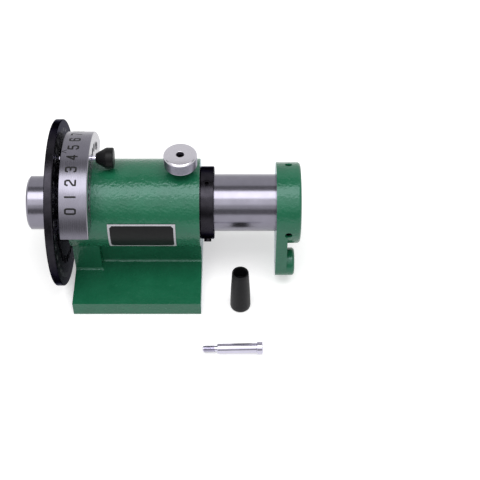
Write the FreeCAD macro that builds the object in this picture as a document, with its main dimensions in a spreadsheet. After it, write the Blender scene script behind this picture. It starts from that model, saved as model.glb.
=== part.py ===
"""Spin index (plain dividing head) for 5C collets, 70 mm centre height.

Row frame: X along the spindle from the index plate to the crank, Y away from the operator, Z up.
The origin is on the base face, under the spindle axis, at the middle of the casting's length.
Every size is a cell of the sheet; every formula below names those cells.
"""
import FreeCAD, Part
import math
import os
import re

import Sketcher
from FreeCAD import Placement, Rotation, Vector

SIZES = [
    # casting
    ("centre_height", 70.0, "base face to spindle axis"),
    ("casting_length", 106.4, "casting along the spindle"),
    ("barrel_radius", 36.3, "outside of the barrel"),
    ("base_width", 125.0, "base flange, front to back"),
    ("base_edge", 14.0, "height of the flange at its outer edge"),
    ("base_rise", 2.5, "rise of the flange from its edge to the web"),
    ("base_chamfer", 0.8, "broken edges of the flange"),
    ("web_thickness", 34.0, "pedestal between flange and barrel"),
    ("cheek_thickness", 52.0, "pedestal under the vernier ring"),
    ("cheek_length", 22.2, "length of that thicker part"),
    ("casting_fillet", 3.0, "inside corners of the castings"),
    ("corner_round", 1.5, "outside corners of the castings"),
    # spindle and its bearing
    ("journal_radius", 23.6, "spindle outside, from its flange to the crank"),
    ("running_gap", 0.05, "radial clearance of the spindle in the casting"),
    ("end_float", 0.2, "axial clearance of flange and collar to the casting"),
    ("flange_radius", 32.0, "spindle flange that carries the index plate"),
    ("nose_radius", 22.225, "spindle nose, 1.75 in diameter"),
    ("register_radius", 22.5, "spindle under the index plate"),
    ("nose_length", 22.6, "nose in front of the index plate"),
    ("nose_chamfer", 1.6, "edge of the nose"),
    ("collet_radius", 15.875, "5C collet bore, 1.250 in diameter"),
    ("collet_mouth", 18.35, "mouth of the collet taper"),
    ("collet_angle", 10.0, "half angle of the collet taper, degrees"),
    ("collet_land", 8.4, "bearing length of the collet bore behind the taper"),
    ("collet_relief", 16.3, "relieved middle of the collet bore"),
    ("collet_tail", 42.0, "nose face to the second bearing length"),
    ("collet_bore_end", 60.0, "nose face to the end of the collet bore"),
    ("tube_bore_radius", 18.6, "spindle bore round the draw tube"),
    ("key_radius", 2.0, "collet key pin"),
    ("key_sink", 0.2, "key pin below the plate's bore"),
    ("key_reach", 0.65, "key pin inside the collet bore"),
    ("edge_break", 0.6, "small chamfers of turned parts"),
    # vernier ring
    ("ring_rim", 11.5, "ring outside its pitch circle"),
    ("ring_width", 22.5, "ring along the spindle"),
    ("ring_overhang", 2.2, "ring in front of the casting"),
    ("ring_start_angle", 17.0, "ends of the ring above the horizontal, degrees"),
    ("seat_depth", 7.4, "ring's seat below the outside of the barrel"),
    ("fit_gap", 0.02, "clearance of parts that are seated for good"),
    ("pitch_rise", 10.7, "index holes outside the barrel"),
    ("index_hole_radius", 3.5, "index holes"),
    ("vernier_count", 10.0, "holes in the ring"),
    ("vernier_step", 11.0, "spacing of the ring's holes, degrees"),
    ("ring_screw_inset", 3.1, "ring's screws and dowels below the outside of the barrel"),
    ("ring_screw_angle", 50.0, "ring screws either side of the top, degrees"),
    ("ring_dowel_angle", 25.0, "ring dowels either side of the top, degrees"),
    ("ring_screw_length", 30.0, "ring screw under its head"),
    ("ring_dowel_radius", 2.0, "ring dowels"),
    ("ring_dowel_length", 24.0, "ring dowels"),
    # index plate
    ("plate_gap", 3.2, "ring to index plate"),
    ("plate_thickness", 6.3, "index plate"),
    ("plate_rim", 21.6, "index plate outside its pitch circle"),
    ("plate_count", 36.0, "holes in the index plate"),
    ("plate_screw_pitch", 27.2, "pitch radius of the plate's screws"),
    ("plate_screw_count", 4.0, "screws of the index plate"),
    ("plate_screw_length", 6.0, "plate screw under its head"),
    # M4 socket head screws
    ("small_screw_radius", 2.0, "M4 screw"),
    ("small_head_radius", 3.5, "M4 head"),
    ("small_head_height", 4.0, "M4 head"),
    ("small_socket", 3.0, "M4 socket across flats"),
    ("small_clearance", 0.25, "clearance of an M4 screw or its head in its hole"),
    # lock collar
    ("collar_radius", 30.0, "lock collar"),
    ("collar_width", 11.1, "lock collar"),
    ("collar_screw_angle", 132.0, "proud collar screw, degrees from the top towards the operator"),
    ("collar_screw_length", 6.0, "sunk collar screws"),
    ("collar_screw_proud", 2.2, "third collar screw outside the collar"),
    # M6 set screws
    ("set_screw_radius", 3.0, "M6 set screw"),
    ("set_socket", 3.0, "M6 set screw's socket across flats"),
    ("set_socket_depth", 2.5, "M6 set screw's socket"),
    ("set_screw_count", 3.0, "set screws of the collar and of the crank"),
    # crank and draw tube
    ("journal_stretch", 50.5, "spindle between collar and crank"),
    ("crank_width", 20.0, "crank hub"),
    ("crank_radius", 33.4, "crank hub"),
    ("crank_pilot", 5.0, "spindle inside the crank hub"),
    ("crank_gap", 0.1, "crank hub round the spindle"),
    ("crank_angle", 23.6, "crank arm forward of straight down, degrees"),
    ("crank_round", 2.5, "outer corners of the crank"),
    ("arm_thickness", 9.4, "crank arm"),
    ("boss_radius", 11.8, "boss for the handle"),
    ("boss_width", 16.2, "boss for the handle"),
    ("boss_reach", 54.0, "spindle axis to handle axis"),
    ("crank_screw_length", 8.0, "crank set screws"),
    ("tube_radius", 18.3, "draw tube"),
    ("tube_bore", 14.3, "draw tube bore"),
    ("tube_front", 66.0, "nose face to the front end of the draw tube"),
    ("draw_thread_radius", 15.1, "collet thread in the draw tube"),
    ("draw_thread_length", 20.0, "collet thread in the draw tube"),
    # spindle lock
    ("lock_offset", 38.3, "lock screw from the middle of the casting"),
    ("lock_hole_radius", 4.0, "M8 hole in the barrel and the knob"),
    ("lock_screw_radius", 3.9, "M8 lock screw"),
    ("lock_socket", 4.0, "M8 screw's socket across flats"),
    ("lock_socket_depth", 4.0, "M8 screw's socket"),
    ("lock_lift", 0.4, "brass pad above the spindle, lock open"),
    ("lock_pad_height", 4.0, "brass pad"),
    ("lock_tip_radius", 2.0, "tip of the screw inside the pad"),
    ("lock_tip_length", 2.0, "tip of the screw inside the pad"),
    ("lock_knob_radius", 13.3, "lock knob"),
    ("lock_knob_height", 11.4, "lock knob"),
    ("lock_knob_gap", 7.7, "knob above the barrel"),
    ("lock_knob_hole", 3.2, "hole in the top of the knob"),
    ("lock_knob_roof", 2.5, "depth of that hole"),
    # index pin
    ("pin_radius", 3.4, "index pin"),
    ("pin_lead", 0.4, "index pin behind the plate when it is drawn"),
    ("pin_neck_radius", 1.9, "neck of the index pin"),
    ("pin_neck_gap", 3.7, "ring to the pin's knob"),
    ("pin_knob_front", 3.7, "small end of the pin's knob"),
    ("pin_knob_radius", 8.45, "large end of the pin's knob"),
    ("pin_cone_length", 8.3, "conical part of the knob"),
    ("pin_knob_length", 14.3, "knob of the index pin"),
    ("pin_tail", 9.0, "pin inside its knob"),
    # nameplate
    ("label_length", 54.4, "nameplate along the barrel"),
    ("label_middle", 6.6, "nameplate's middle from the casting's middle"),
    ("label_arc_angle", 45.8, "nameplate round the barrel, degrees"),
    ("label_dip_angle", 4.5, "nameplate's middle below the horizontal, degrees"),
    ("label_thickness", 0.5, "nameplate"),
    ("label_film", 0.05, "adhesive under the nameplate"),
    # crank handle, taken off
    ("grip_height", 43.0, "grip"),
    ("grip_foot", 8.6, "large end of the grip"),
    ("grip_top", 6.8, "small end of the grip"),
    ("grip_sink", 5.5, "counterbore for the screw's head"),
    ("grip_round", 2.0, "rounded foot of the grip"),
    ("grip_lip", 0.5, "rounded lip of the grip"),
    ("grip_play", 0.3, "end play of the grip on its screw"),
    ("grip_right", 85.9, "grip's place, along the spindle"),
    ("grip_near", 52.7, "grip's place, in front of the spindle"),
    ("shoulder_radius", 4.0, "shoulder screw"),
    ("shoulder_length", 32.0, "shoulder screw"),
    ("shoulder_head_radius", 5.0, "shoulder screw"),
    ("shoulder_head_height", 4.7, "shoulder screw"),
    ("shoulder_thread", 12.0, "threaded end of the shoulder screw"),
    ("shoulder_thread_radius", 2.95, "threaded end of the shoulder screw"),
    ("shoulder_undercut", 2.2, "undercut between thread and shoulder"),
    ("shoulder_gap", 0.15, "grip round the shoulder"),
    ("handle_hole_radius", 2.5, "M6 tapping hole for the shoulder screw"),
    ("screw_left", 67.3, "shoulder screw's place, along the spindle"),
    ("screw_near", 100.4, "shoulder screw's place, in front of the spindle"),
]

doc = FreeCAD.newDocument("spin_index")
sheet = doc.addObject("Spreadsheet::Sheet", "Sizes")
for row, (alias, number, meaning) in enumerate(SIZES, start=1):
    sheet.set(f"A{row}", meaning)
    sheet.set(f"B{row}", str(number))
    sheet.setAlias(f"B{row}", alias)
doc.recompute()

ALIASES = {alias for alias, number, meaning in SIZES}
SUB_PARTS = []


def bind(formula):
    """The formula with the sheet's name before each of its cells."""
    return re.sub(r"[a-z_]+", lambda word: "Sizes." + word[0] if word[0] in ALIASES else word[0], formula)


def value(formula):
    result = sheet.evalExpression(bind(formula))
    return float(getattr(result, "Value", result))


# Stations along the spindle.
CASTING_FRONT = "-(casting_length / 2)"
CASTING_REAR = "casting_length / 2"
RING_FACE = f"({CASTING_FRONT} - ring_overhang)"
RING_BACK = f"({RING_FACE} + ring_width)"
PLATE_BACK = f"({RING_FACE} - plate_gap)"
PLATE_FRONT = f"({PLATE_BACK} - plate_thickness)"
NOSE_FACE = f"({PLATE_FRONT} - nose_length)"
COLLAR_FRONT = f"({CASTING_REAR} + end_float)"
COLLAR_REAR = f"({COLLAR_FRONT} + collar_width)"
CRANK_FRONT = f"({COLLAR_REAR} + journal_stretch)"
CRANK_REAR = f"({CRANK_FRONT} + crank_width)"
SPINDLE_REAR = f"({CRANK_FRONT} + crank_pilot)"
TUBE_HEAD = f"({SPINDLE_REAR} + end_float)"
PIN_KNOB = f"({RING_BACK} + pin_neck_gap)"

BORE = "(journal_radius + running_gap)"
INDEX_PITCH = "(barrel_radius + pitch_rise)"
RING_RADIUS = f"({INDEX_PITCH} + ring_rim)"
PLATE_RADIUS = f"({INDEX_PITCH} + plate_rim)"
RING_SEAT = "(barrel_radius - seat_depth)"
RING_SCREW_PITCH = "(barrel_radius - ring_screw_inset)"
BASE_TOP = "(base_edge + base_rise)"
BARREL_TOP = "(centre_height + barrel_radius)"
RING_HALF_ARC = "(90 - ring_start_angle)"
VERNIER_HALF_ARC = "((vernier_count - 1) * vernier_step / 2)"


def new_body(name, along="0", height="centre_height", across="0", turn=None):
    """A body whose X axis is the spindle's, or a line parallel to it."""
    body = doc.addObject("PartDesign::Body", name)
    body.Label = name
    if turn:
        body.Placement = Placement(Vector(), Rotation(Vector(1, 0, 0), value(turn)))
        body.setExpression("Placement.Rotation.Angle", bind(turn))
    for axis, formula in zip("xyz", (along, across, height)):
        body.setExpression(f"Placement.Base.{axis}", bind(formula))
    SUB_PARTS.append(body)
    return body


def origin_plane(body, role):
    return next(item for item in body.Origin.OriginFeatures if item.Role == role)


def new_sketch(body, plane, right="0", up="0", out="0", tilt=0):
    """A sketch on a plane of the body's origin, moved by formulas and tilted about X by tilt degrees."""
    sketch = body.newObject("Sketcher::SketchObject", f"{body.Name}_sketch")
    sketch.AttachmentSupport = (origin_plane(body, plane), [""])
    sketch.MapMode = "FlatFace"
    sketch.AttachmentOffset = Placement(Vector(), Rotation(Vector(1, 0, 0), tilt))
    for axis, formula in zip("xyz", (right, up, out)):
        sketch.setExpression(f"AttachmentOffset.Base.{axis}", bind(formula))
    return sketch


def pin_point(sketch, geometry, corner, right, up):
    """Ties one point of the sketch to the two formulas."""
    for kind, formula in (("DistanceX", right), ("DistanceY", up)):
        place = sketch.addConstraint(Sketcher.Constraint(kind, -1, 1, geometry, corner, value(formula)))
        sketch.setExpression(f"Constraints[{place}]", bind(formula))


def outline(body, plane, corners, **place):
    """A closed outline through corners, each a pair of formulas."""
    sketch = new_sketch(body, plane, **place)
    points = [Vector(value(a), value(b), 0) for a, b in corners]
    count = len(points)
    for index in range(count):
        sketch.addGeometry(Part.LineSegment(points[index], points[(index + 1) % count]))
    for index, (a, b) in enumerate(corners):
        sketch.addConstraint(Sketcher.Constraint("Coincident", index, 2, (index + 1) % count, 1))
        pin_point(sketch, index, 1, a, b)
    return sketch


def circle(body, plane, radius, **place):
    sketch = new_sketch(body, plane, **place)
    sketch.addGeometry(Part.Circle(Vector(), Vector(0, 0, 1), value(radius)))
    sketch.addConstraint(Sketcher.Constraint("Coincident", 0, 3, -1, 1))
    place = sketch.addConstraint(Sketcher.Constraint("Radius", 0, value(radius)))
    sketch.setExpression(f"Constraints[{place}]", bind(radius))
    return sketch


def hexagon(body, plane, flats, **place):
    corners = []
    for index in range(6):
        angle = 30 + 60 * index
        corners.append((f"{flats} / sqrt(3) * cos({angle})", f"{flats} / sqrt(3) * sin({angle})"))
    return outline(body, plane, corners, **place)


def feature(body, kind, sketch, **formulas):
    made = body.newObject(f"PartDesign::{kind}", f"{body.Name}_{kind.lower()}")
    made.Profile = sketch
    for name, formula in formulas.items():
        made.setExpression(name, bind(formula))
    return made


def pad(body, sketch, length, centred=False):
    made = feature(body, "Pad", sketch, Length=length)
    made.SideType = "Symmetric" if centred else "One side"
    return made


def socket(body, sketch, depth):
    """A pocket as deep on both sides of its sketch, which lies in the end face."""
    made = feature(body, "Pocket", sketch, Length=f"2 * ({depth})")
    made.SideType = "Symmetric"
    return made


def turned(body, kind, corners, axis="H_Axis", plane="XZ_Plane", arc=None, **place):
    """A Revolution or a Groove of the outline about the sketch's own axis."""
    sketch = outline(body, plane, corners, **place)
    made = body.newObject(f"PartDesign::{kind}", f"{body.Name}_{kind.lower()}")
    made.Profile = sketch
    made.ReferenceAxis = (sketch, [axis])
    if arc:
        made.Midplane = True
        made.setExpression("Angle", bind(arc))
    else:
        made.Angle = 360
    return made


def hole_along(body, start, end, radius, **place):
    """A round hole along X, at the place given in the sketch."""
    return turned(body, "Groove", [(start, "0"), (end, "0"), (end, radius), (start, radius)], **place)


def hole_up(body, start, end, radius, **place):
    """A round hole along Z."""
    corners = [("0", start), ("0", end), (radius, end), (radius, start)]
    return turned(body, "Groove", corners, axis="V_Axis", **place)


def polar(body, features, count, arc="360"):
    """Copies round the body's own X axis."""
    made = body.newObject("PartDesign::PolarPattern", f"{body.Name}_pattern")
    made.Originals = features
    made.Axis = (origin_plane(body, "X_Axis"), [""])
    made.setExpression("Occurrences", bind(count))
    made.setExpression("Angle", bind(arc))
    body.Tip = made
    return made


def find_edges(body, test):
    """Names of the body's edges whose middle point passes the test."""
    doc.recompute()
    names = []
    for index, edge in enumerate(body.Tip.Shape.Edges, start=1):
        middle = edge.valueAt((edge.FirstParameter + edge.LastParameter) / 2)
        if test(edge, middle):
            names.append(f"Edge{index}")
    return names


def soften(body, kind, size, test):
    """A Fillet or a Chamfer on the edges that pass the test."""
    base = body.Tip
    names = find_edges(body, test)
    made = body.newObject(f"PartDesign::{kind}", f"{body.Name}_{kind.lower()}")
    made.Base = (base, names)
    made.setExpression("Radius" if kind == "Fillet" else "Size", bind(size))
    return made


def near(a, b):
    return abs(a - b) < 1e-4


def even_turns(count):
    """The angles in degrees of count places spread evenly over a full turn."""
    places = round(value(count))
    return [360 / places * place for place in range(places)]


RING_SCREWS = ["-(ring_screw_angle)", "0", "ring_screw_angle"]
RING_DOWELS = ["-(ring_dowel_angle)", "ring_dowel_angle"]


def drill_for_ring(body, radius, start, end, angle, axis_height="0"):
    """A hole along the spindle on the ring's screw circle, angle degrees from the top."""
    hole_along(body, start, end, radius, up=f"{axis_height} + {RING_SCREW_PITCH} * cos({angle})",
               out=f"{RING_SCREW_PITCH} * sin({angle})")


def make_housing():
    """Grey iron casting: flange, pedestal with its thicker front end, and barrel."""
    body = new_body("housing", height="0")
    half_base, half_web, half_cheek = "base_width / 2", "web_thickness / 2", "cheek_thickness / 2"
    foot = outline(body, "YZ_Plane", [
        (f"-{half_base}", "0"), (half_base, "0"), (half_base, "base_edge"),
        (half_web, BASE_TOP), (half_web, "centre_height"),
        (f"-{half_web}", "centre_height"), (f"-{half_web}", BASE_TOP), (f"-{half_base}", "base_edge")])
    pad(body, foot, "casting_length", centred=True)
    cheek = outline(body, "XZ_Plane", [
        (CASTING_FRONT, "base_edge"), (f"{CASTING_FRONT} + cheek_length", "base_edge"),
        (f"{CASTING_FRONT} + cheek_length", "centre_height"), (CASTING_FRONT, "centre_height")])
    pad(body, cheek, "cheek_thickness", centred=True)

    cheek_end = value(f"{CASTING_FRONT} + cheek_length")
    low, high = value("base_edge + 0.1"), value("centre_height - 0.1")

    def inside_corner(edge, middle):
        side = abs(middle.y)
        if not low < middle.z < high or side > value("cheek_thickness / 2") + 0.01:
            return False
        along_flange = middle.z < value(BASE_TOP) + 0.01
        up_the_web = near(middle.x, cheek_end) and near(side, value("web_thickness / 2"))
        return (along_flange and edge.Length > 1 and not near(middle.x, value(CASTING_FRONT))) or up_the_web

    soften(body, "Fillet", "casting_fillet", inside_corner)
    pad(body, circle(body, "YZ_Plane", "barrel_radius", up="centre_height"), "casting_length", centred=True)
    soften(body, "Chamfer", "base_chamfer",
           lambda edge, middle: middle.z < 0.01 and near(abs(middle.y), value("base_width / 2")))
    turned(body, "Groove", [
        (CASTING_FRONT, "0"), (CASTING_REAR, "0"), (CASTING_REAR, f"{BORE} + edge_break"),
        (f"{CASTING_REAR} - edge_break", BORE), (f"{CASTING_FRONT} + edge_break", BORE),
        (CASTING_FRONT, f"{BORE} + edge_break")], up="centre_height")
    turned(body, "Groove", [
        (CASTING_FRONT, RING_SEAT), (RING_BACK, RING_SEAT),
        (RING_BACK, "barrel_radius + 1"), (CASTING_FRONT, "barrel_radius + 1")],
        arc=f"2 * {RING_HALF_ARC}", up="centre_height")
    hole_up(body, "centre_height", f"{BARREL_TOP} + 1", "lock_hole_radius", right="lock_offset")
    thread_end = f"({CASTING_FRONT} + small_head_height + ring_screw_length + edge_break)"
    dowel_end = f"({CASTING_FRONT} + ring_dowel_length + edge_break)"
    for angle in RING_SCREWS:
        drill_for_ring(body, "small_screw_radius", RING_BACK, thread_end, angle, "centre_height")
    for angle in RING_DOWELS:
        drill_for_ring(body, "ring_dowel_radius", RING_BACK, dowel_end, angle, "centre_height")


def make_vernier_ring():
    """Steel segment on the casting's front end, with holes 11 degrees apart."""
    body = new_body("vernier_ring")
    bore = f"({RING_SEAT} + fit_gap)"
    mouth = "(flange_radius + small_clearance)"
    turned(body, "Revolution", [
        (RING_FACE, mouth), (CASTING_FRONT, mouth), (CASTING_FRONT, bore), (RING_BACK, bore),
        (RING_BACK, f"{RING_RADIUS} - edge_break"), (f"{RING_BACK} - edge_break", RING_RADIUS),
        (f"{RING_FACE} + edge_break", RING_RADIUS), (RING_FACE, f"{RING_RADIUS} - edge_break")],
        arc=f"2 * {RING_HALF_ARC}")
    head_end = f"({CASTING_FRONT} + small_head_height)"
    for angle in RING_SCREWS:
        drill_for_ring(body, "small_screw_radius + small_clearance", RING_FACE, RING_BACK, angle)
        drill_for_ring(body, "small_head_radius + small_clearance", RING_FACE, head_end, angle)
    for angle in RING_DOWELS:
        drill_for_ring(body, "ring_dowel_radius", RING_FACE, RING_BACK, angle)
    first = hole_along(body, RING_FACE, RING_BACK, "index_hole_radius",
                       up=f"{INDEX_PITCH} * cos({VERNIER_HALF_ARC})",
                       out=f"-({INDEX_PITCH} * sin({VERNIER_HALF_ARC}))")
    polar(body, [first], "vernier_count", "(vernier_count - 1) * vernier_step")


def make_index_plate():
    """Disc with 36 holes; one stands opposite the index pin."""
    body = new_body("index_plate", turn="-(vernier_step / 2)")
    bore = "(register_radius + fit_gap)"
    turned(body, "Revolution", [
        (PLATE_FRONT, bore), (PLATE_BACK, bore),
        (PLATE_BACK, f"{PLATE_RADIUS} - edge_break"), (f"{PLATE_BACK} - edge_break", PLATE_RADIUS),
        (f"{PLATE_FRONT} + edge_break", PLATE_RADIUS), (PLATE_FRONT, f"{PLATE_RADIUS} - edge_break")])
    index_hole = hole_along(body, PLATE_FRONT, PLATE_BACK, "index_hole_radius", up=INDEX_PITCH)
    polar(body, [index_hole], "plate_count")
    screw_place = {"up": "plate_screw_pitch * cos(vernier_step / 2)",
                   "out": "plate_screw_pitch * sin(vernier_step / 2)"}
    through = hole_along(body, PLATE_FRONT, PLATE_BACK, "small_screw_radius + small_clearance", **screw_place)
    sink = hole_along(body, PLATE_FRONT, f"{PLATE_FRONT} + small_head_height",
                      "small_head_radius + small_clearance", **screw_place)
    polar(body, [through, sink], "plate_screw_count")


def screw_corners(start, head, radius, head_radius, length):
    """Half section of a socket head screw whose shank starts at start and points along +X."""
    return [(f"{start} - {head}", "0"), (f"{start} - {head}", f"{head_radius} - edge_break / 2"),
            (f"{start} - {head} + edge_break / 2", head_radius), (start, head_radius), (start, radius),
            (f"{start} + {length}", radius), (f"{start} + {length}", "0")]


def make_small_screws(name, seat, length, pitch, angles):
    """A group of M4 socket head screws along the spindle, their heads' undersides at seat."""
    body = new_body(name)
    corners = screw_corners(seat, "small_head_height", "small_screw_radius", "small_head_radius", length)
    for angle in angles:
        place = {"up": f"{pitch} * cos({angle})", "out": f"{pitch} * sin({angle})"}
        turned(body, "Revolution", corners, **place)
        recess = hexagon(body, "YZ_Plane", "small_socket", right=f"-({pitch} * sin({angle}))",
                         up=place["up"], out=f"{seat} - small_head_height")
        socket(body, recess, "small_head_height / 2")


def make_dowels():
    body = new_body("vernier_ring_dowels")
    for angle in RING_DOWELS:
        turned(body, "Revolution", [
            (CASTING_FRONT, "0"), (CASTING_FRONT, "ring_dowel_radius"),
            (f"{CASTING_FRONT} + ring_dowel_length", "ring_dowel_radius"),
            (f"{CASTING_FRONT} + ring_dowel_length", "0")],
            up=f"{RING_SCREW_PITCH} * cos({angle})", out=f"{RING_SCREW_PITCH} * sin({angle})")


def make_spindle():
    """Nose with the collet taper, flange for the plate, journal and draw tube bore."""
    body = new_body("spindle")
    taper_end = f"({NOSE_FACE} + (collet_mouth - collet_radius) / tan(collet_angle))"
    tail_land = f"({NOSE_FACE} + collet_tail)"
    bore_end = f"({NOSE_FACE} + collet_bore_end)"
    flange_back = f"({CASTING_FRONT} - end_float)"
    turned(body, "Revolution", [
        (NOSE_FACE, "collet_mouth"), (NOSE_FACE, "nose_radius - nose_chamfer"),
        (f"{NOSE_FACE} + nose_chamfer", "nose_radius"), (PLATE_FRONT, "nose_radius"),
        (PLATE_FRONT, "register_radius"), (PLATE_BACK, "register_radius"),
        (PLATE_BACK, "flange_radius"), (flange_back, "flange_radius"), (flange_back, "journal_radius"),
        (f"{SPINDLE_REAR} - edge_break", "journal_radius"), (SPINDLE_REAR, "journal_radius - edge_break"),
        (SPINDLE_REAR, "tube_bore_radius + edge_break"), (f"{SPINDLE_REAR} - edge_break", "tube_bore_radius"),
        (bore_end, "tube_bore_radius"), (bore_end, "collet_radius"), (tail_land, "collet_radius"),
        (tail_land, "collet_relief"), (f"{taper_end} + collet_land", "collet_relief"),
        (f"{taper_end} + collet_land", "collet_radius"), (taper_end, "collet_radius")])
    thread = hole_along(body, PLATE_BACK, flange_back, "small_screw_radius", up="plate_screw_pitch")
    polar(body, [thread], "plate_screw_count")
    hole_up(body, "0", "register_radius + 1", "key_radius", right=KEY_PLACE)


KEY_PLACE = f"({PLATE_BACK} - plate_thickness / 2)"


def make_collet_key():
    """Pin in the spindle's wall, under the plate's bore, whose end keeps the collet from turning."""
    body = new_body("collet_key_pin", along=KEY_PLACE)
    turned(body, "Revolution", [
        ("0", "collet_radius - key_reach"), ("key_radius", "collet_radius - key_reach"),
        ("key_radius", "register_radius - key_sink"), ("0", "register_radius - key_sink")], axis="V_Axis")


def make_lock_collar():
    """Solid collar that takes up the spindle's end float, held by three set screws."""
    middle = f"({COLLAR_FRONT} + collar_width / 2)"
    body = new_body("lock_collar", along=middle, turn="collar_screw_angle")
    bore = "(journal_radius + fit_gap)"
    half = "(collar_width / 2)"
    turned(body, "Revolution", [
        (f"-{half}", bore), (half, bore), (half, "collar_radius - edge_break"),
        (f"{half} - edge_break", "collar_radius"), (f"edge_break - {half}", "collar_radius"),
        (f"-{half}", "collar_radius - edge_break")])
    thread = hole_up(body, "journal_radius / 2", "collar_radius + 1", "set_screw_radius")
    polar(body, [thread], "set_screw_count")


def make_set_screws(name, along, turn, ends):
    """M6 set screws pointing at the spindle, evenly round it; ends holds each one's outer end."""
    body = new_body(name, along=along, turn=turn)
    flank = "(set_screw_radius - fit_gap)"
    tip = "(journal_radius + fit_gap)"
    for angle, end in zip(even_turns("set_screw_count"), ends):
        turned(body, "Revolution", [
            ("0", tip), (f"{flank} / 2", tip), (flank, f"{tip} + {flank} / 2"), (flank, end), ("0", end)],
            axis="V_Axis", tilt=angle)
        recess = hexagon(body, "XY_Plane", "set_socket", tilt=angle,
                         up=f"-(sin({angle}) * ({end}))", out=f"cos({angle}) * ({end})")
        socket(body, recess, "set_socket_depth")


def make_crank():
    """Casting clamped on the draw tube's head: hub, flat arm and the handle's boss."""
    body = new_body("crank", along=CRANK_FRONT, turn="-(crank_angle)")
    bore = "(journal_radius + crank_gap)"
    lean = "((crank_radius - boss_radius) / boss_reach)"
    side = f"sqrt(1 - {lean} * {lean})"
    hub_down = f"-(crank_radius * {lean})"
    boss_down = f"-(boss_reach + boss_radius * {lean})"
    hub_side = f"(crank_radius * {side})"
    boss_side = f"(boss_radius * {side})"
    arm = outline(body, "YZ_Plane", [
        (f"-{hub_side}", hub_down), (f"-{boss_side}", boss_down),
        (boss_side, boss_down), (hub_side, hub_down)])
    pad(body, arm, "arm_thickness")
    pad(body, circle(body, "YZ_Plane", "boss_radius", up="-(boss_reach)"), "boss_width")
    pad(body, circle(body, "YZ_Plane", "crank_radius"), "crank_width")
    for station in (value("crank_width"), value("boss_width")):
        soften(body, "Fillet", "crank_round",
               lambda edge, middle: near(middle.x, station) and isinstance(edge.Curve, Part.Circle))
    hole_along(body, "0", "crank_width", bore)
    hole_along(body, "0", "boss_width", "handle_hole_radius", up="-(boss_reach)")
    thread = hole_up(body, "journal_radius / 2", "crank_radius + 1", "set_screw_radius",
                     right="crank_width / 2")
    polar(body, [thread], "set_screw_count")


def make_draw_tube():
    """Tube that pulls the collet in; its head is held in the crank's hub."""
    body = new_body("draw_tube")
    front = f"({NOSE_FACE} + tube_front)"
    thread_end = f"({front} + draw_thread_length)"
    head = "(journal_radius - fit_gap)"
    turned(body, "Revolution", [
        (front, "draw_thread_radius"), (front, "tube_radius - edge_break"),
        (f"{front} + edge_break", "tube_radius"), (TUBE_HEAD, "tube_radius"), (TUBE_HEAD, head),
        (CRANK_REAR, head), (CRANK_REAR, "tube_bore"), (thread_end, "tube_bore"),
        (thread_end, "draw_thread_radius")])


LOCK_PAD_FOOT = "(centre_height + journal_radius + lock_lift)"
LOCK_PAD_TOP = f"({LOCK_PAD_FOOT} + lock_pad_height)"
KNOB_FOOT = f"({BARREL_TOP} + lock_knob_gap)"
KNOB_TOP = f"({KNOB_FOOT} + lock_knob_height)"


def make_lock():
    """Screw with a turned knob on top and a brass pad snapped on its lower tip."""
    pad_body = new_body("lock_pad", along="lock_offset", height=LOCK_PAD_FOOT)
    pad_radius = "(lock_screw_radius - fit_gap)"
    tip_bore = "(lock_tip_radius + 2 * fit_gap)"
    floor = "(lock_pad_height - lock_tip_length - 2 * fit_gap)"
    turned(pad_body, "Revolution", [
        ("0", "0"), (f"{pad_radius} - edge_break", "0"), (pad_radius, "edge_break"),
        (pad_radius, "lock_pad_height"), (tip_bore, "lock_pad_height"), (tip_bore, floor), ("0", floor)],
        axis="V_Axis")
    screw = new_body("lock_screw", along="lock_offset", height="0")
    shoulder = f"({LOCK_PAD_TOP} + 2 * fit_gap)"
    end = f"({KNOB_TOP} - lock_knob_roof)"
    turned(screw, "Revolution", [
        ("0", f"{shoulder} - lock_tip_length"), ("lock_tip_radius", f"{shoulder} - lock_tip_length"),
        ("lock_tip_radius", shoulder), ("lock_screw_radius", shoulder),
        ("lock_screw_radius", end), ("0", end)], axis="V_Axis")
    socket(screw, hexagon(screw, "XY_Plane", "lock_socket", out=end), "lock_socket_depth")
    knob = new_body("lock_knob", along="lock_offset", height=KNOB_FOOT)
    thread = "(lock_screw_radius + fit_gap)"
    roof = "(lock_knob_height - lock_knob_roof)"
    turned(knob, "Revolution", [
        (thread, "0"), ("lock_knob_radius - edge_break", "0"), ("lock_knob_radius", "edge_break"),
        ("lock_knob_radius", "lock_knob_height - edge_break"),
        ("lock_knob_radius - edge_break", "lock_knob_height"),
        ("lock_knob_hole", "lock_knob_height"), ("lock_knob_hole", roof), (thread, roof)], axis="V_Axis")


def make_index_pin():
    """Stepped pin and its knob, in the ring's first hole behind the top."""
    place = {"height": f"centre_height + {INDEX_PITCH} * cos(vernier_step / 2)",
             "across": f"{INDEX_PITCH} * sin(vernier_step / 2)"}
    pin = new_body("index_pin", **place)
    tip = f"({PLATE_BACK} + pin_lead)"
    neck = f"({RING_BACK} - edge_break)"
    end = f"({PIN_KNOB} + pin_tail)"
    turned(pin, "Revolution", [
        (tip, "0"), (tip, "pin_radius - 2 * edge_break"), (f"{tip} + 2 * edge_break", "pin_radius"),
        (neck, "pin_radius"), (neck, "pin_neck_radius"), (end, "pin_neck_radius"), (end, "0")])
    knob = new_body("index_pin_knob", along=PIN_KNOB, **place)
    bore = "(pin_neck_radius + fit_gap)"
    bore_end = "(pin_tail + fit_gap)"
    dome = "(pin_knob_length - edge_break)"
    turned(knob, "Revolution", [
        ("0", bore), ("0", "pin_knob_front"), ("pin_cone_length", "pin_knob_radius"),
        (dome, "pin_knob_radius"), ("pin_knob_length", "pin_knob_radius - 2 * edge_break"),
        ("pin_knob_length", "0"), (bore_end, "0"), (bore_end, bore)])


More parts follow.
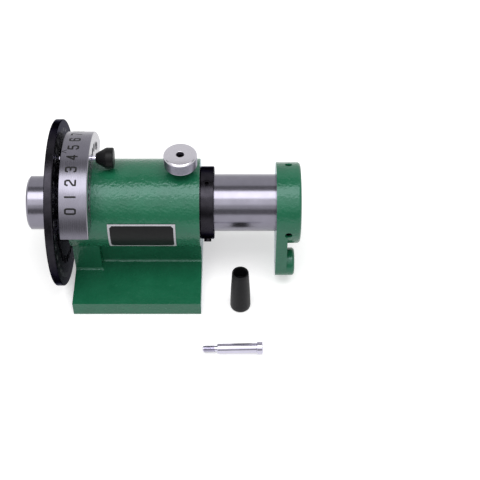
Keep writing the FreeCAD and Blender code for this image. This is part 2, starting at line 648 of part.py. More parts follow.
def make_nameplate():
    """Thin plate rolled to the barrel, on the operator's side."""
    body = new_body("nameplate", turn="90 + label_dip_angle")
    start, end = "label_middle - label_length / 2", "label_middle + label_length / 2"
    inner = "barrel_radius + label_film"
    outer = f"{inner} + label_thickness"
    turned(body, "Revolution", [(start, inner), (end, inner), (end, outer), (start, outer)],
           arc="label_arc_angle")


def make_handle():
    """Grip and shoulder screw, taken off the crank and laid beside it."""
    grip = new_body("handle_grip", along="grip_right", across="-(grip_near)", height="0")
    bore = "(shoulder_radius + shoulder_gap)"
    step = "(shoulder_length - grip_play)"
    turned(grip, "Revolution", [
        (bore, "0"), ("grip_foot", "0"), ("grip_top", "grip_height"), ("grip_sink", "grip_height"),
        ("grip_sink", step), (bore, step)], axis="V_Axis")
    for size, height, radius in (("grip_round", "0", "grip_foot"), ("grip_lip", "grip_height", "grip_top")):
        level, reach = value(height), value(radius)
        soften(grip, "Fillet", size,
               lambda edge, middle: near(middle.z, level) and near(math.hypot(middle.x, middle.y), reach))

    screw = new_body("handle_screw", along="screw_left", across="-(screw_near)", height="shoulder_radius")
    screw.Placement.Rotation = Rotation(Vector(0, -1, 0), 1)
    lean = "asin((shoulder_head_radius - shoulder_radius) / shoulder_length)"
    screw.setExpression("Placement.Rotation.Angle", bind(lean))
    neck = "(shoulder_thread_radius - edge_break)"
    turned(screw, "Revolution", [
        ("-(shoulder_thread)", "0"), ("-(shoulder_thread)", neck),
        ("edge_break - shoulder_thread", "shoulder_thread_radius"),
        ("-(shoulder_undercut)", "shoulder_thread_radius"), ("-(shoulder_undercut)", neck), ("0", neck),
        ("0", "shoulder_radius"), ("shoulder_length", "shoulder_radius"),
        ("shoulder_length", "shoulder_head_radius"),
        ("shoulder_length + shoulder_head_height - edge_break / 2", "shoulder_head_radius"),
        ("shoulder_length + shoulder_head_height", "shoulder_head_radius - edge_break / 2"),
        ("shoulder_length + shoulder_head_height", "0")])
    socket(screw, hexagon(screw, "YZ_Plane", "lock_socket", out="shoulder_length + shoulder_head_height"),
           "shoulder_head_height / 2")


make_housing()
make_vernier_ring()
make_small_screws("vernier_ring_screws", f"({CASTING_FRONT} + small_head_height)", "ring_screw_length",
                  RING_SCREW_PITCH, RING_SCREWS)
make_dowels()
make_index_plate()
make_small_screws("index_plate_screws", f"({PLATE_FRONT} + small_head_height)", "plate_screw_length",
                  "plate_screw_pitch", even_turns("plate_screw_count"))
make_spindle()
make_collet_key()
make_lock_collar()
sunk = "(journal_radius + fit_gap + collar_screw_length)"
proud = "(collar_radius + collar_screw_proud)"
make_set_screws("lock_collar_screws", f"({COLLAR_FRONT} + collar_width / 2)", "collar_screw_angle",
                [proud] + [sunk] * len(even_turns("set_screw_count")[1:]))
make_crank()
crank_end = "(journal_radius + fit_gap + crank_screw_length)"
make_set_screws("crank_set_screws", f"({CRANK_FRONT} + crank_width / 2)", "-(crank_angle)",
                [crank_end] * len(even_turns("set_screw_count")))
make_draw_tube()
make_lock()
make_index_pin()
make_nameplate()
make_handle()
doc.recompute()

for item in doc.Objects:
    if "Invalid" in item.State or "Error" in item.State:
        raise RuntimeError(f"{item.Label} did not build: {item.State}")
for part in SUB_PARTS:
    if part.Shape.isNull() or not part.Shape.isValid():
        raise RuntimeError(f"{part.Label} has no valid shape")

os.makedirs("parts", exist_ok=True)
for part in SUB_PARTS:
    part.Shape.exportStep(f"parts/{part.Label}.step")
    box = part.Shape.BoundBox
    corners = (box.XMin, box.XMax, box.YMin, box.YMax, box.ZMin, box.ZMax)
    print(f"{part.Label:22s} solids {len(part.Shape.Solids)} volume {part.Shape.Volume:10.1f} box",
          *(f"{corner:8.2f}" for corner in corners))
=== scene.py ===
"""Looks of the spin index: materials, finer pieces, floor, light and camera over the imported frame.

Row frame, in metres: X along the spindle, Y away from the operator, Z up, origin on the base face.
Lengths in the functions below are in millimetres and pass through MM.
"""
import math

import bmesh
import bpy
from mathutils import Matrix, Vector


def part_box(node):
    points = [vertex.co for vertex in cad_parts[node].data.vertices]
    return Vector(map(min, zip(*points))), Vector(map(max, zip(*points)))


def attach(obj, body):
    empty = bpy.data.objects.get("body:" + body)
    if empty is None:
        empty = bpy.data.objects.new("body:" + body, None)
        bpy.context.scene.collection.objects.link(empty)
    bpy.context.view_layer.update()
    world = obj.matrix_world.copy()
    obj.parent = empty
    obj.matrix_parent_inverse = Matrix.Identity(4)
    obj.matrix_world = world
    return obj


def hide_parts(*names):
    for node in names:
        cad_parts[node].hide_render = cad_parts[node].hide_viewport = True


MM = 0.001
TURN = 2 * math.pi

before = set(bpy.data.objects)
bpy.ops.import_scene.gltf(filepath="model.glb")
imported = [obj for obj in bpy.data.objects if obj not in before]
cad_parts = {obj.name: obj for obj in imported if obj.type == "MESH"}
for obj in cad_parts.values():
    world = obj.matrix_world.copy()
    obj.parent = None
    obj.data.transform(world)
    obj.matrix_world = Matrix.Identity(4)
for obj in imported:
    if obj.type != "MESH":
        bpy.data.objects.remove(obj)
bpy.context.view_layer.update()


def corners(name):
    """Lowest and highest corner of a CAD node, in millimetres."""
    return [[value / MM for value in corner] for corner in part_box(name)]


def span(name, axis):
    """Lowest and highest coordinate of a CAD node along axis 0, 1 or 2, in millimetres."""
    low, high = corners(name)
    return low[axis], high[axis]


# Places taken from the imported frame, in millimetres.
AXIS_HEIGHT = sum(span("spindle", 2)) / 2
RING_RADIUS = span("vernier_ring", 2)[1] - AXIS_HEIGHT
PLATE_RADIUS = span("index_plate", 2)[1] - AXIS_HEIGHT

# The camera, fitted to the photo once: place in metres, tilt from straight down in degrees, lens.
CAMERA_PLACE, CAMERA_TILT = (0.0856, -0.6242, 0.7304), 41.434
CAMERA_LENS, SENSOR_WIDTH = 82.45, 36

# Studio: floor and fill, then lamps and cards by their elevation round the spindle, 90 overhead.
FLOOR_PAPER, FLOOR_GLOW, FLOOR_REACH, FLOOR_DROP = 0.86, 0.4, 6.0, 0.0002
FILL_LEVEL, WHITE_LEVEL = 0.4, 1.0
LAMP_DISTANCE, LAMP_SHIFT, LAMP_WIDTH = 1.5, 0.03, 1.8
SOFTBOXES = (("key_softbox", 77, 0.8, 3.1), ("front_softbox", 48, 0.6, 0.8))
CARD_DISTANCE, CARD_REACH = 1.6, 2.5
FLAGS = (("front_flag", -3, 21, 0.3), ("back_flag", 95, 117, 0.28))

# Colours, each as the two ends that it drifts between.
ENAMEL = (0.008, 0.108, 0.050, 1), (0.012, 0.130, 0.063, 1)
BARE_IRON = (0.17, 0.16, 0.19, 1), (0.25, 0.24, 0.28, 1)
OXIDE = (0.018, 0.017, 0.021, 1), (0.027, 0.025, 0.031, 1)

# The ring's digits: the first one's place above the horizontal and their step, in degrees, and their size.
FIRST_DIGIT_ANGLE, DIGIT_STEP, DIGIT_COUNT = 39.7, 11.0, 10
DIGIT_HEIGHT, DIGIT_WIDTH, DIGIT_STROKE = 7.8, 3.9, 1.45
# The plate's stamped degrees: their step, how far inside the rim they stand, and their size.
STAMP_STEP, STAMP_INSET = 10, 8.6
STAMP_HEIGHT, STAMP_WIDTH, STAMP_STROKE = 2.6, 1.2, 0.36
# How far characters and the nameplate's frame stand off what carries them.
CHARACTER_LIFT, BORDER_LIFT = 0.015, 0.03
# Widths of the eased edges of the castings.
EASED_EDGES = (("housing", 1.2), ("crank", 0.8))


# ---------------------------------------------------------------- camera, floor and light

def make_camera():
    data = bpy.data.cameras.new("camera")
    data.lens = CAMERA_LENS
    data.sensor_width = SENSOR_WIDTH
    camera = bpy.data.objects.new("camera", data)
    camera.location = CAMERA_PLACE
    camera.rotation_euler = (math.radians(CAMERA_TILT), 0, 0)
    bpy.context.collection.objects.link(camera)
    bpy.context.scene.camera = camera


def node(tree, kind, inputs=None, **settings):
    """A shader node with its settings, and its inputs linked or set."""
    made = tree.nodes.new("ShaderNode" + kind)
    for key, value in settings.items():
        setattr(made, key, value)
    for key, value in (inputs or {}).items():
        if isinstance(value, bpy.types.NodeSocket):
            tree.links.new(value, made.inputs[key])
        else:
            made.inputs[key].default_value = value
    return made


def maths(tree, operation, *values):
    return node(tree, "Math", dict(enumerate(values)), operation=operation).outputs[0]


def empty_tree(owner):
    """The node tree of a new material or world, with nothing in it."""
    owner.use_nodes = True
    owner.node_tree.nodes.clear()
    return owner.node_tree


def seen_directly(tree):
    """1 where the camera, a mirror or a glass sees it, and 0 where it only lights."""
    path = node(tree, "LightPath").outputs
    seen = maths(tree, "MAXIMUM", path["Is Camera Ray"], path["Is Glossy Ray"])
    return maths(tree, "MAXIMUM", seen, path["Is Transmission Ray"])


def even_grey(level):
    return (level, level, level, 1)


def new_object(name, mesh):
    thing = bpy.data.objects.new(name, mesh)
    bpy.context.collection.objects.link(thing)
    return thing


def flat_card(name, outline, material):
    """A flat four-cornered object."""
    mesh = bpy.data.meshes.new(name)
    mesh.from_pydata(outline, [], [(0, 1, 2, 3)])
    mesh.materials.append(material)
    return new_object(name, mesh)


def emission_card(name, level):
    """A material that only shows an even grey."""
    material = bpy.data.materials.new(name)
    tree = empty_tree(material)
    glow = node(tree, "Emission", {"Color": even_grey(level), "Strength": 1.0})
    node(tree, "OutputMaterial", {"Surface": glow.outputs[0]})
    return material


def floor_white():
    """Pale paper that glows a little where it is seen, so that only the shadow stays on it."""
    material = bpy.data.materials.new("floor_white")
    tree = empty_tree(material)
    paper = node(tree, "BsdfDiffuse", {"Color": even_grey(FLOOR_PAPER)})
    glow = node(tree, "Emission", {"Color": even_grey(FLOOR_GLOW), "Strength": seen_directly(tree)})
    both = node(tree, "AddShader", {0: paper.outputs[0], 1: glow.outputs[0]})
    node(tree, "OutputMaterial", {"Surface": both.outputs[0]})
    return material


def make_floor():
    reach = FLOOR_REACH
    outline = [(-reach, -reach, 0), (reach, -reach, 0), (reach, reach, 0), (-reach, reach, 0)]
    floor = flat_card("floor", outline, floor_white())
    floor.location.z = -FLOOR_DROP


def make_world():
    """Even soft fill, and plain white where a camera or a mirror sees it."""
    world = bpy.data.worlds.new("studio")
    bpy.context.scene.world = world
    tree = empty_tree(world)
    limits = {"To Min": FILL_LEVEL, "To Max": WHITE_LEVEL}
    level = node(tree, "MapRange", {"Value": seen_directly(tree), **limits})
    sky = node(tree, "Background", {"Color": even_grey(1), "Strength": level.outputs[0]})
    node(tree, "OutputWorld", {"Surface": sky.outputs[0]})


def polar_point(elevation, distance, x):
    """A point beside the spindle: elevation in degrees, 0 in front, 90 above, 180 behind."""
    angle = math.radians(elevation)
    return (x, -distance * math.cos(angle), AXIS_HEIGHT * MM + distance * math.sin(angle))


def softbox(name, elevation, depth, radiance):
    """A rectangular lamp aimed at the spindle; radiance 1 looks white."""
    data = bpy.data.lights.new(name, "AREA")
    data.shape = "RECTANGLE"
    data.size = LAMP_WIDTH
    data.size_y = depth
    data.energy = radiance * 4 * LAMP_WIDTH * depth
    lamp = new_object(name, data)
    lamp.location = polar_point(elevation, LAMP_DISTANCE, LAMP_SHIFT)
    aim = Vector((0, 0, AXIS_HEIGHT * MM)) - lamp.location
    lamp.rotation_euler = aim.to_track_quat("-Z", "Y").to_euler()
    lamp.visible_camera = False


def flag(name, low, high, level):
    """A grey card that only mirrors see, as a studio puts beside bright metal."""
    outline = [polar_point(low, CARD_DISTANCE, x) for x in (-CARD_REACH, CARD_REACH)]
    outline += [polar_point(high, CARD_DISTANCE, x) for x in (CARD_REACH, -CARD_REACH)]
    card = flat_card(name, outline, emission_card(name, level))
    card.visible_camera = False
    card.visible_diffuse = False
    card.visible_shadow = False
    card.visible_transmission = False


def make_lights():
    for settings in SOFTBOXES:
        softbox(*settings)
    for settings in FLAGS:
        flag(*settings)


# ---------------------------------------------------------------- materials

def new_material(name, **sockets):
    """A node material; constant sockets of its Principled shader are given by name."""
    material = bpy.data.materials.new(name)
    material.use_nodes = True
    tree = material.node_tree
    shader = tree.nodes["Principled BSDF"]
    for key, value in sockets.items():
        shader.inputs[key.replace("_", " ")].default_value = value
    place = node(tree, "TexCoord").outputs["Object"]
    return material, tree, shader, place


def noise_at(tree, place, size, detail=3.0):
    """A noise whose blobs are about size millimetres across."""
    made = node(tree, "TexNoise", {"Vector": place, "Scale": 1 / (size * MM), "Detail": detail})
    return made.outputs["Fac"]


def spread(tree, factor, low, high, start=0.3, end=0.7):
    """The factor's range from start to end becomes low to high."""
    limits = {"From Min": start, "From Max": end, "To Min": low, "To Max": high}
    return node(tree, "MapRange", {"Value": factor, **limits}).outputs["Result"]


def blend(tree, factor, a, b):
    """Colour a where the factor is 0, and b where it is 1."""
    made = node(tree, "Mix", data_type="RGBA")
    for index, value in ((0, factor), (6, a), (7, b)):
        if isinstance(value, bpy.types.NodeSocket):
            tree.links.new(value, made.inputs[index])
        else:
            made.inputs[index].default_value = value
    return made.outputs[2]


def clouded(tree, place, size, colours):
    """A colour that drifts between two, in clouds about size millimetres across."""
    return blend(tree, spread(tree, noise_at(tree, place, size), 0, 1), *colours)


def bump(tree, height, distance, normal=None):
    inputs = {"Height": height, "Distance": distance * MM, "Strength": 1.0}
    if normal:
        inputs["Normal"] = normal
    return node(tree, "Bump", inputs).outputs["Normal"]


def finish(tree, shader, colour, roughness, normal=None):
    """Links a shader's colour, roughness and surface."""
    tree.links.new(colour, shader.inputs["Base Color"])
    tree.links.new(roughness, shader.inputs["Roughness"])
    if normal:
        tree.links.new(normal, shader.inputs["Normal"])


def green_enamel():
    """Glossy orange-peel enamel over a sand casting, with bare grey iron on the machined end faces."""
    material, tree, shader, place = new_material("green_enamel", Specular_Tint=(0.8, 1.0, 1.05, 1), IOR=1.48)
    along = node(tree, "SeparateXYZ", {0: place}).outputs[0]
    reach = 0.05 * MM
    on_casting = maths(tree, "COMPARE", maths(tree, "ABSOLUTE", along), span("housing", 0)[1] * MM, reach)
    on_crank = maths(tree, "COMPARE", along, span("crank", 0)[0] * MM, reach)
    bare = maths(tree, "MAXIMUM", on_casting, on_crank)
    colour = blend(tree, bare, clouded(tree, place, 14, ENAMEL), clouded(tree, place, 3, BARE_IRON))
    tree.links.new(maths(tree, "MULTIPLY", bare, 0.8), shader.inputs["Metallic"])
    peel = bump(tree, noise_at(tree, place, 2.3, 1.0), 0.3)
    peel = bump(tree, noise_at(tree, place, 0.7, 1.0), 0.03, normal=peel)
    finish(tree, shader, colour, spread(tree, noise_at(tree, place, 5), 0.2, 0.28), peel)
    return material


def tool_marks(tree, place, axis, centre, size=0.35):
    """Fine rings left by a tool round an axis, and the coordinate along that axis."""
    parts = node(tree, "SeparateXYZ", {0: place}).outputs
    across = [index for index in range(3) if index != axis]
    squares = [maths(tree, "POWER", maths(tree, "SUBTRACT", parts[index], offset * MM), 2.0)
               for index, offset in zip(across, centre)]
    radius = maths(tree, "SQRT", maths(tree, "ADD", *squares))
    cut = maths(tree, "ADD", radius, parts[axis])
    inputs = {"W": cut, "Scale": 1 / (size * MM), "Detail": 2.0}
    return node(tree, "TexNoise", inputs, noise_dimensions="1D").outputs["Fac"], parts[axis]


def turned_metal(name, level, roughness, axis=0, centre=(0, 0), face=None, painted_highlight_gain=1.0):
    """Bright turned metal with tool marks.

    centre is where the axis passes, in millimetres. face is where a painted highlight on the end starts along
    the axis, and painted_highlight_gain is how many times lighter that painted highlight makes the colour.
    """
    material, tree, shader, place = new_material(name, Metallic=1.0)
    marks, station = tool_marks(tree, place, axis, centre)
    dark, light = (level * 0.95, level * 0.91, level * 1.1, 1), (level * 1.05, level * 1.01, level * 1.22, 1)
    colour = clouded(tree, place, 9, (dark, light))
    if face is not None:
        # Past face the colour is painted lighter: a painted highlight on the lit end, not a different finish.
        painted_highlight_mask = maths(tree, "GREATER_THAN", station, face * MM)
        pale = level * painted_highlight_gain
        colour = blend(tree, painted_highlight_mask, colour, (pale, pale * 0.97, pale * 1.06, 1))
    gloss = spread(tree, marks, roughness * 0.8, roughness * 1.25)
    finish(tree, shader, colour, gloss, bump(tree, marks, 0.004))
    return material


def black_oxide():
    """Oiled black oxide on steel, which darkens towards a glancing view."""
    glance = (0.25, 0.25, 0.3, 1)
    material, tree, shader, place = new_material("black_oxide", Metallic=1.0, Specular_Tint=glance)
    roughness = spread(tree, noise_at(tree, place, 1.5), 0.22, 0.34)
    grain = bump(tree, noise_at(tree, place, 0.8), 0.01)
    finish(tree, shader, clouded(tree, place, 6, OXIDE), roughness, grain)
    return material


def satin_plastic(name, level, roughness):
    """Moulded black plastic or lacquer with a fine grain."""
    material, tree, shader, place = new_material(name, IOR=1.25)
    dark, light = (level, level, level * 1.15, 1), (level * 1.3, level * 1.3, level * 1.5, 1)
    gloss = spread(tree, noise_at(tree, place, 0.9), roughness * 0.85, roughness * 1.2)
    grain = bump(tree, noise_at(tree, place, 0.5), 0.012)
    finish(tree, shader, clouded(tree, place, 4, (dark, light)), gloss, grain)
    return material


def filled_paint(name, level, roughness):
    """Paint or bare metal in a stamped character, slightly uneven."""
    material, tree, shader, place = new_material(name, IOR=1.3)
    dark, light = (level, level, level * 1.06, 1), (level * 1.35, level * 1.35, level * 1.45, 1)
    gloss = spread(tree, noise_at(tree, place, 0.4), roughness * 0.9, roughness * 1.1)
    finish(tree, shader, clouded(tree, place, 0.7, (dark, light)), gloss)
    return material


def dress(material, *names):
    """Gives the CAD nodes a material."""
    for name in names:
        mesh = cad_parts[name].data
        mesh.materials.clear()
        mesh.materials.append(material)


def dress_nodes():
    spindle_axis = (0, AXIS_HEIGHT)
    ring_side = span("vernier_ring", 0)[1] - 0.3
    dress(green_enamel(), "housing", "crank")
    dress(turned_metal("ground_steel", 0.2, 0.2, centre=spindle_axis), "spindle", "draw_tube",
          "collet_key_pin")
    # The ring's right face gets a painted highlight, twice as light as the rest of the ring.
    dress(turned_metal("ring_steel", 0.17, 0.27, centre=spindle_axis, face=ring_side, painted_highlight_gain=2.0),
          "vernier_ring", "vernier_ring_dowels")
    dress(turned_metal("polished_steel", 0.75, 0.1), "index_pin")
    dress(turned_metal("brass", 0.5, 0.3, axis=2), "lock_pad")
    dress(black_oxide(), "index_plate", "index_plate_screws", "vernier_ring_screws", "lock_collar",
          "lock_collar_screws", "crank_set_screws", "lock_screw")
    dress(satin_plastic("label_black", 0.004, 0.36), "nameplate")


# ---------------------------------------------------------------- finer pieces

SHARP_ANGLE = 28


def place_piece(mesh, material, body, slot, *replaced):
    """Links a mesh as a piece of a body, in place of CAD nodes, which it hides; the slot argument is not
    used.
    """
    mesh.materials.append(material)
    mesh.shade_smooth()
    mesh.set_sharp_from_angle(angle=math.radians(SHARP_ANGLE))
    thing = new_object(mesh.name, mesh)
    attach(thing, body)
    if replaced:
        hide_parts(*replaced)


def finished(shape, name, matrix=None):
    """The mesh of a bmesh, moved into the row frame."""
    bmesh.ops.recalc_face_normals(shape, faces=shape.faces)
    if matrix:
        shape.transform(matrix)
    mesh = bpy.data.meshes.new(name)
    shape.to_mesh(mesh)
    shape.free()
    return mesh


def standing_at(place, turn=0.0):
    """The move that turns a piece from Z towards X and puts its foot at a place, in millimetres."""
    return Matrix.Translation([value * MM for value in place]) @ Matrix.Rotation(turn, 4, "Y")


def rounded(profile, reaches, steps=5):
    """A closed profile with each corner eased by a curve of its own reach; 0 stays sharp."""
    made = []
    for index, (corner, wanted) in enumerate(zip(profile, reaches)):
        point = Vector(corner)
        before = Vector(profile[index - 1]) - point
        after = Vector(profile[(index + 1) % len(profile)]) - point
        reach = min(wanted, before.length * 0.45, after.length * 0.45)
        if reach <= 0:
            made.append(tuple(point))
            continue
        start, end = point + before.normalized() * reach, point + after.normalized() * reach
        for step in range(steps + 1):
            t = step / steps
            made.append(tuple(start * (1 - t) ** 2 + point * 2 * t * (1 - t) + end * t * t))
    return made


def lathe(profile, steps=96):
    """A closed profile of (radius, height) in millimetres, turned round Z."""
    shape = bmesh.new()
    rows = []
    for radius, height in profile:
        if radius == 0:
            rows.append([shape.verts.new((0, 0, height * MM))])
            continue
        row = []
        for k in range(steps):
            angle = TURN * k / steps
            row.append(shape.verts.new([value * MM for value in
                                        (radius * math.cos(angle), radius * math.sin(angle), height)]))
        rows.append(row)
    for low, high in zip(rows, rows[1:] + rows[:1]):
        for k in range(steps):
            after = k + 1
            ends = [low[k % len(low)], low[after % len(low)], high[after % len(high)], high[k % len(high)]]
            ends = list(dict.fromkeys(ends))
            if len(ends) > 2:
                shape.faces.new(ends)
    return shape


# Strokes of the digits in a box one unit wide and one high.
BEND = 0.16
DIGITS = {
    "0": [[(0, BEND), (0, 1 - BEND), (BEND, 1), (1 - BEND, 1), (1, 1 - BEND), (1, BEND), (1 - BEND, 0),
           (BEND, 0), (0, BEND)]],
    "1": [[(0.5, 0), (0.5, 1)]],
    "2": [[(0, 0.8), (0, 1 - BEND), (BEND, 1), (1 - BEND, 1), (1, 1 - BEND), (1, 0.6), (0, 0.24), (0, 0),
           (1, 0)]],
    "3": [[(0, 1 - BEND), (BEND, 1), (1 - BEND, 1), (1, 1 - BEND), (1, 0.64), (0.84, 0.52), (0.4, 0.52)],
          [(0.84, 0.52), (1, 0.4), (1, BEND), (1 - BEND, 0), (BEND, 0), (0, BEND)]],
    "4": [[(0.74, 0), (0.74, 1), (0, 0.28), (1, 0.28)]],
    "5": [[(0.95, 1), (0.05, 1), (0, 0.56), (0.82, 0.58), (1, 0.44), (1, BEND), (1 - BEND, 0), (BEND, 0),
           (0, BEND)]],
    "6": [[(1, 1 - BEND), (1 - BEND, 1), (BEND, 1), (0, 1 - BEND), (0, BEND), (BEND, 0), (1 - BEND, 0),
           (1, BEND), (1, 0.42), (1 - BEND, 0.56), (0, 0.56)]],
    "7": [[(0, 1), (1, 1), (0.36, 0)]],
    "8": [[(BEND, 0.53), (0, 0.66), (0, 1 - BEND), (BEND, 1), (1 - BEND, 1), (1, 1 - BEND), (1, 0.66),
           (1 - BEND, 0.53), (BEND, 0.53), (0, 0.4), (0, BEND), (BEND, 0), (1 - BEND, 0), (1, BEND),
           (1, 0.4), (1 - BEND, 0.53)]],
}
DIGITS["9"] = [[(1 - x, 1 - y) for x, y in stroke] for stroke in DIGITS["6"]]


def stroke_bar(shape, start, end, width, level):
    """A flat bar with round ends between two points of the plane, at a height."""
    run = Vector(end) - Vector(start)
    heading = math.atan2(run.y, run.x)
    outline = []
    for centre, turn in ((start, 90), (end, -90)):
        for step in range(7):
            angle = heading + math.radians(turn + 30 * step)
            x = centre[0] + width / 2 * math.cos(angle)
            y = centre[1] + width / 2 * math.sin(angle)
            outline.append((x, y, level))
    shape.faces.new([shape.verts.new(corner) for corner in outline])


def write(shape, text, centre, width, height, stroke, turn):
    """Digits in the plane, centred on a point and turned by an angle; lengths in millimetres."""
    pitch = width + 1.8 * stroke
    heading = Matrix.Rotation(turn, 2)
    level_step = 0.0008
    level = 0.0
    for place, letter in enumerate(text):
        shift = (place - (len(text) - 1) / 2) * pitch
        for line in DIGITS[letter]:
            spots = [Vector(centre) + heading @ Vector(((x - 0.5) * width + shift, (y - 0.5) * height))
                     for x, y in line]
            for start, end in zip(spots, spots[1:]):
                level += level_step
                stroke_bar(shape, tuple(start), tuple(end), stroke, level)


def wrap(shape, radius, slice_width=0.8):
    """Bends a flat shape in millimetres round the spindle: its X runs along it and its Y round it."""
    low = min(vert.co.y for vert in shape.verts)
    high = max(vert.co.y for vert in shape.verts)
    for index in range(1, int((high - low) / slice_width) + 1):
        geometry = shape.verts[:] + shape.edges[:] + shape.faces[:]
        cut = (0, low + index * slice_width, 0)
        bmesh.ops.bisect_plane(shape, geom=geometry, plane_co=cut, plane_no=(0, 1, 0))
    for vert in shape.verts:
        angle = vert.co.y / radius
        reach = radius + vert.co.z
        height = AXIS_HEIGHT + reach * math.sin(angle)
        vert.co = (vert.co.x * MM, -reach * math.cos(angle) * MM, height * MM)


def make_ring_digits():
    """Digits 0 to 9 on the ring, read with the head turned to the left, and the mark of its middle."""
    ring_left, ring_right = span("vernier_ring", 0)
    middle = ring_left + 0.42 * (ring_right - ring_left)
    shape = bmesh.new()
    for digit in range(DIGIT_COUNT):
        arc = math.radians(FIRST_DIGIT_ANGLE + DIGIT_STEP * digit) * RING_RADIUS
        write(shape, str(digit), (middle, arc), DIGIT_WIDTH, DIGIT_HEIGHT, DIGIT_STROKE, math.pi / 2)
    top = math.pi / 2 * RING_RADIUS
    for side in (-1, 1):
        stroke_bar(shape, (ring_left + 1.0, top), (ring_left + 4.6, top + side * 1.7), 0.5, 0.01)
    wrap(shape, RING_RADIUS + CHARACTER_LIFT)
    place_piece(finished(shape, "ring_digits"), filled_paint("digit_black", 0.006, 0.5),
                "housing", "black_oxide_steel")


def make_plate_numbers():
    """Degrees stamped beside the plate's holes, on the side that faces the casting."""
    shape = bmesh.new()
    pitch = PLATE_RADIUS - STAMP_INSET
    for degrees in range(0, 360, STAMP_STEP):
        angle = math.radians(degrees)
        spot = (pitch * math.cos(angle), pitch * math.sin(angle))
        write(shape, str(degrees), spot, STAMP_WIDTH, STAMP_HEIGHT, STAMP_STROKE, angle - math.pi / 2)
    face = span("index_plate", 0)[1] + CHARACTER_LIFT
    for vert in shape.verts:
        vert.co = ((face + vert.co.z) * MM, vert.co.x * MM, (AXIS_HEIGHT + vert.co.y) * MM)
    place_piece(finished(shape, "plate_numbers"), filled_paint("stamped_grey", 0.16, 0.4),
                "spindle", "ground_steel")


def make_label_border():
    """Bright frame of the nameplate, with clipped inner corners."""
    left, right = span("nameplate", 0)
    radius = -span("nameplate", 1)[0]
    bottom, top = [math.asin((height - AXIS_HEIGHT) / radius) * radius for height in span("nameplate", 2)]
    band, clip = 1.6, 2.0
    outer = [(left, bottom), (right, bottom), (right, top), (left, top)]
    inner = [(left + band, bottom + band + clip), (left + band + clip, bottom + band),
             (right - band - clip, bottom + band), (right - band, bottom + band + clip),
             (right - band, top - band - clip), (right - band - clip, top - band),
             (left + band + clip, top - band), (left + band, top - band - clip)]
    shape = bmesh.new()
    rim = [shape.verts.new((x, y, 0)) for x, y in outer]
    field = [shape.verts.new((x, y, 0)) for x, y in inner]
    for side in range(4):
        a, b = 2 * side, 2 * side + 1
        shape.faces.new([rim[side], field[b], field[a]])
        shape.faces.new([rim[side], rim[(side + 1) % 4], field[(b + 1) % 8], field[b]])
    wrap(shape, radius + BORDER_LIFT)
    place_piece(finished(shape, "nameplate_border"), filled_paint("border_silver", 0.42, 0.35),
                "housing", "nameplate_foil")


def make_knob():
    """Turned knob of the lock, with a chamfer and fine grooves on its side, and a painted highlight on its
    chamfer and top.
    """
    (x0, y0, z0), (x1, y1, z1) = corners("lock_knob")
    centre, height, radius = ((x0 + x1) / 2, (y0 + y1) / 2), z1 - z0, (x1 - x0) / 2
    bore, hole, hole_depth, foot_chamfer = 3.92, 3.15, 2.5, 0.8
    level, groove, depth, plain_top = 1.2, 0.5, 0.09, 1.6
    profile = [(bore, 0), (radius - foot_chamfer, 0), (radius, foot_chamfer)]
    while level < height - plain_top:
        profile += [(radius, level), (radius - depth, level + groove / 2)]
        level += groove
    profile += [(radius, height - 1.3), (radius - 1.1, height - 0.15), (radius - 1.5, height),
                (hole + 0.35, height), (hole, height - 0.35), (hole, height - hole_depth),
                (bore, height - hole_depth)]
    mesh = finished(lathe(profile), "lock_knob_turned", standing_at((*centre, z0)))
    # Its chamfer and top face, the top 1.35 mm, are painted 1.8 times lighter as a painted highlight.
    metal = turned_metal("knob_aluminium", 0.3, 0.3, axis=2, centre=centre, face=z1 - 1.35, painted_highlight_gain=1.8)
    place_piece(mesh, metal, "lock_knob", "aluminium", "lock_knob")


def make_grip():
    """Moulded grip with slightly bellied sides, standing on its large end."""
    (x0, y0, z0), (x1, y1, z1) = corners("handle_grip")
    foot, height = (x1 - x0) / 2, z1 - z0
    top, belly, bore, sink, sink_floor = 6.8, 0.3, 4.15, 5.5, 31.7
    foot_round, lip_round, flank_steps = 2.0, 0.6, 12
    profile = [(bore, 0), (bore + 0.35, 0), (foot - 1.9, 0), (foot - 0.75, 0.35), (foot - 0.2, 1.05),
               (foot, foot_round)]
    for step in range(1, flank_steps + 1):
        t = step / flank_steps
        swell = belly * math.sin(math.pi * t) * (1 - t * 0.3)
        profile.append((foot + (top - foot) * t + swell, foot_round + (height - foot_round - lip_round) * t))
    profile += [(top - 0.12, height - 0.25), (top - 0.45, height), (sink + 0.3, height), (sink, height - 0.3),
                (sink, sink_floor), (bore, sink_floor)]
    mesh = finished(lathe(profile), "grip_moulded", standing_at(((x0 + x1) / 2, (y0 + y1) / 2, z0)))
    place_piece(mesh, satin_plastic("black_plastic", 0.005, 0.46), "housing", "black_plastic", "handle_grip")


def make_pin_knob():
    """Moulded knob of the index pin: a cone that runs out into a rounded cylinder."""
    (x0, y0, z0), (x1, y1, z1) = corners("index_pin_knob")
    radius, length = (z1 - z0) / 2, x1 - x0
    bore, bore_end, front, cone_length = 1.92, 9.02, 3.7, 8.3
    profile = [(bore, 0), (front, 0), (radius, cone_length), (radius, length), (0, length), (0, bore_end),
               (bore, bore_end)]
    profile = rounded(profile, [0.1, 0.5, 0.9, 1.3, 0, 0, 0])
    matrix = standing_at((x0, (y0 + y1) / 2, (z0 + z1) / 2), math.pi / 2)
    mesh = finished(lathe(profile), "pin_knob_moulded", matrix)
    place_piece(mesh, satin_plastic("knob_plastic", 0.004, 0.4), "index_pin", "black_plastic",
                "index_pin_knob")


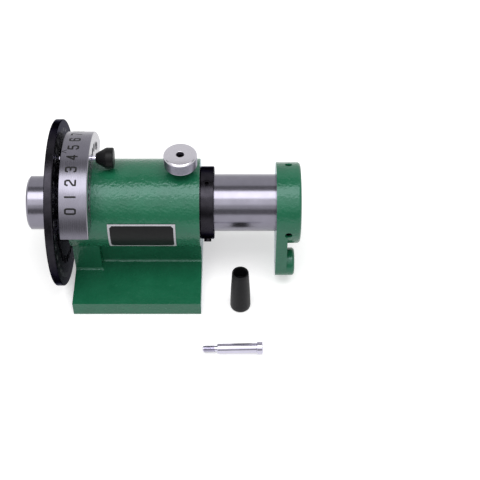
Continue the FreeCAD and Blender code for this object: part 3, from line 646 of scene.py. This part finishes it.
def add_thread(shape, foot, length, outside, depth, pitch, steps=36):
    """Winds a screw's thread round Z: one ridge, faded out at both ends; lengths in millimetres."""
    ridge = [(0.0, depth), (0.12, depth), (0.44, 0), (0.56, 0), (0.88, depth)]
    count = int(steps * (length / pitch - 1))
    rows = []
    for index in range(count + 1):
        angle = TURN * index / steps
        fade = min(1, index / (steps / 2), (count - index) / (steps / 2))
        row = []
        for along, drop in ridge:
            reach = (outside - depth + (depth - drop) * fade) * MM
            height = (foot + (index / steps + along) * pitch) * MM
            row.append(shape.verts.new((reach * math.cos(angle), reach * math.sin(angle), height)))
        rows.append(row)
    for first, second in zip(rows, rows[1:]):
        for k in range(len(ridge) - 1):
            shape.faces.new([first[k], second[k], second[k + 1], first[k + 1]])


def make_handle_screw():
    """Shoulder screw of the grip, with its thread cut, lying on head and shoulder."""
    (x0, y0, _), (x1, y1, _) = corners("handle_screw")
    length, middle = x1 - x0, (y0 + y1) / 2
    head, shoulder, thread, thread_depth, thread_pitch = 5.0, 4.0, 2.95, 0.6, 1.0
    head_height, thread_length = 4.7, 12.0
    core = thread - thread_depth
    shank_end = length - head_height
    lean = math.asin((head - shoulder) / (shank_end - thread_length))
    tip, end = 0.1, length - 0.1
    profile = [(0, tip), (core - 0.5, tip), (core, 0.6), (core, thread_length),
               (shoulder - 0.3, thread_length), (shoulder, thread_length + 0.3), (shoulder, shank_end - 0.4),
               (shoulder - 0.25, shank_end - 0.2), (shoulder - 0.25, shank_end),
               (head - 0.3, shank_end), (head, shank_end + 0.3), (head, length - 0.5), (head - 0.4, end),
               (2.9, end), (0, end)]
    shape = lathe(profile, 64)
    add_thread(shape, 0.3, thread_length - 1.6, thread, thread_depth, thread_pitch)
    matrix = standing_at((x0, middle, shoulder - 0.3), math.pi / 2 - lean)
    mesh = finished(shape, "handle_screw_turned", matrix)
    place_piece(mesh, turned_metal("screw_steel", 0.5, 0.16), "housing", "ground_steel", "handle_screw")


def ease_castings():
    """Eased edges, as the sand and the paint leave them."""
    for name, width in EASED_EDGES:
        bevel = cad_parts[name].modifiers.new("eased_edges", "BEVEL")
        bevel.width = width * MM
        bevel.segments = 4
        bevel.limit_method = "ANGLE"
        bevel.angle_limit = math.radians(40)
        bevel.harden_normals = True


def make_pieces():
    make_ring_digits()
    make_plate_numbers()
    make_label_border()
    make_knob()
    make_grip()
    make_pin_knob()
    make_handle_screw()


make_camera()
make_world()
make_floor()
make_lights()
dress_nodes()
make_pieces()
ease_castings()
bpy.context.scene.view_settings.view_transform = "Standard"
